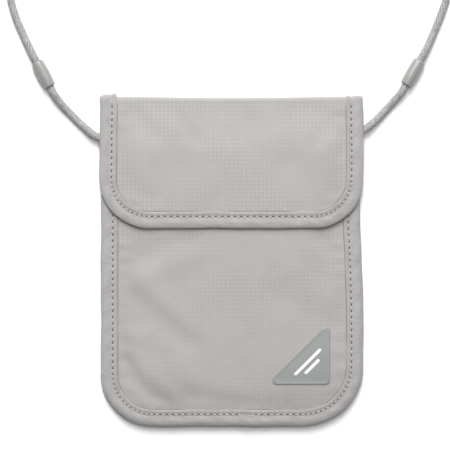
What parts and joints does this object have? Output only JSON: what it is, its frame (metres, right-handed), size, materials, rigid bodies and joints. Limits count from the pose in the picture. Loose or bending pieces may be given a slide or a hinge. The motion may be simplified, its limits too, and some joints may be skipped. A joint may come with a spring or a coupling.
{
  "type": "neck pouch wallet",
  "caption": "Flat cloth travel pouch with a folded-over flap, taped edges, inner zip and a braided neck cord with barrel beads.",
  "frame": {"origin": "middle of the pouch's underside, on the surface it lies on, with the cord left out of the measurement", "axes": "+X across the pouch to the side with the badge, +Y from the bottom edge towards the top fold, +Z out of the front"},
  "size_m": [0.2393, 0.3113, 0.0109],
  "materials": {
    "shell_cloth": "light grey ripstop nylon",
    "lining_cloth": "thin plain-weave lining",
    "shield_foil": "metallised film",
    "binding_tape": "folded woven tape with a row of stitches",
    "badge_rubber": "matt moulded badge",
    "hook_and_loop": "hook and loop pile",
    "zip_tape": "twill zip tape",
    "zip_plastic": "coiled nylon",
    "zip_metal": "grey painted die casting",
    "thread": "bonded sewing thread",
    "cord_braid": "round braided cord",
    "bead_plastic": "moulded bead"
  },
  "bodies": {
    "root": {"back_panel": "shell_cloth", "back_shield": "shield_foil", "back_lining": "lining_cloth", "front_lining": "lining_cloth", "front_shield": "shield_foil", "front_panel": "shell_cloth", "front_yoke": "shell_cloth", "body_binding": "binding_tape", "flap_fold": "shell_cloth", "loop_strip": "hook_and_loop", "badge": "badge_rubber", "cord_tack_left": "thread", "cord_tack_right": "thread", "zip_tape_upper": "zip_tape", "zip_tape_lower": "zip_tape", "zip_coil_upper": "zip_plastic", "zip_coil_lower": "zip_plastic", "zip_stop_left": "zip_metal", "zip_stop_right": "zip_metal", "neck_cord_left": "cord_braid", "neck_cord_right": "cord_braid", "neck_cord_coil": "cord_braid", "cord_tie": "hook_and_loop"},
    "flap": {"flap_outer": "shell_cloth", "flap_lining": "lining_cloth", "flap_binding": "binding_tape", "hook_strip": "hook_and_loop"},
    "slider": {"zip_slider": "zip_metal"},
    "pull": {"zip_pull": "zip_metal"},
    "bead_left": {"left_bead": "bead_plastic"},
    "bead_right": {"right_bead": "bead_plastic"}
  },
  "joints": [
    {"name": "flap_hinge", "type": "hinge", "parent": "root", "child": "flap", "pos_m": [0, 0.08575, 0.00555], "axis": [-1, 0, 0], "range_deg": [0, 179], "deforming": ["flap_fold"]},
    {"name": "zip_slide", "type": "slide", "parent": "root", "child": "slider", "axis": [-1, 0, 0], "range_m": [0, 0.082]},
    {"name": "zip_pull_swivel", "type": "hinge", "parent": "slider", "child": "pull", "pos_m": [0.041, 0.0575, 0.0088], "axis": [0, 0, 1], "range_deg": [-35, 35]},
    {"name": "left_bead_slide", "type": "slide", "parent": "root", "child": "bead_left", "axis": [-0.4718, 0.8817, 0], "range_m": [-0.004, 0.004]},
    {"name": "right_bead_slide", "type": "slide", "parent": "root", "child": "bead_right", "axis": [0.5, 0.866, 0], "range_m": [-0.004, 0.004]}
  ]
}
